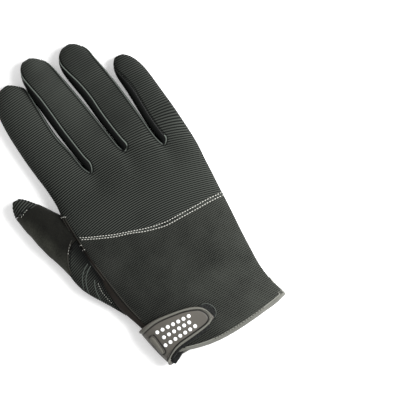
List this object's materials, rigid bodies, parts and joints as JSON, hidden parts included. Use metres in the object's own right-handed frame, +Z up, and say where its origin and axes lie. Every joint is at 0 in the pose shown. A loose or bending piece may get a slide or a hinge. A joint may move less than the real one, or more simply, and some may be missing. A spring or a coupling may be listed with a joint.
{
  "type": "mechanic glove",
  "caption": "Work glove with a ribbed knit back, suede palm, side strips between the fingers and a moulded wrist tab, lying palm down.",
  "frame": {"origin": "on the surface that the glove lies on, under the middle of its outline", "axes": "+Y from the cuff to the fingertips, +X from the thumb side to the little finger, +Z up through the back of the hand"},
  "size_m": [0.1402, 0.2466, 0.0231],
  "materials": {
    "rib_knit": "matte",
    "plain_knit": "matte",
    "suede": "matte",
    "side_strip": "satin",
    "cuff_tape": "matte",
    "tab_rubber": "satin",
    "hook_tape": "matte",
    "loop_tape": "matte",
    "dot_print": "satin",
    "thread": "matte"
  },
  "bodies": {
    "root": {"knuckle_back": "rib_knit", "wrist_back": "plain_knit", "palm": "suede", "fourchette_index_middle": "side_strip", "fourchette_middle_ring": "side_strip", "fourchette_ring_pinky": "side_strip", "thumb_gusset": "rib_knit", "thumb_root_front": "suede", "thumb_body": "suede", "thumb_tip": "rib_knit", "knuckle_patch": "suede", "thenar_patch": "suede", "heel_patch_upper": "suede", "heel_patch_lower": "suede", "cuff_binding": "cuff_tape", "loop_patch": "loop_tape", "hook_pad": "hook_tape", "closure_tab": "tab_rubber", "grip_bar": "tab_rubber", "tab_dot_01": "dot_print", "tab_dot_02": "dot_print", "tab_dot_03": "dot_print", "tab_dot_04": "dot_print", "tab_dot_05": "dot_print", "tab_dot_06": "dot_print", "tab_dot_07": "dot_print", "tab_dot_08": "dot_print", "tab_dot_09": "dot_print", "tab_dot_10": "dot_print", "tab_dot_11": "dot_print", "tab_dot_12": "dot_print", "tab_dot_13": "dot_print", "tab_dot_14": "dot_print", "tab_dot_15": "dot_print", "tab_dot_16": "dot_print", "tab_dot_17": "dot_print", "tab_dot_18": "dot_print", "tab_dot_19": "dot_print", "tab_dot_20": "dot_print"}
  },
  "joints": []
}
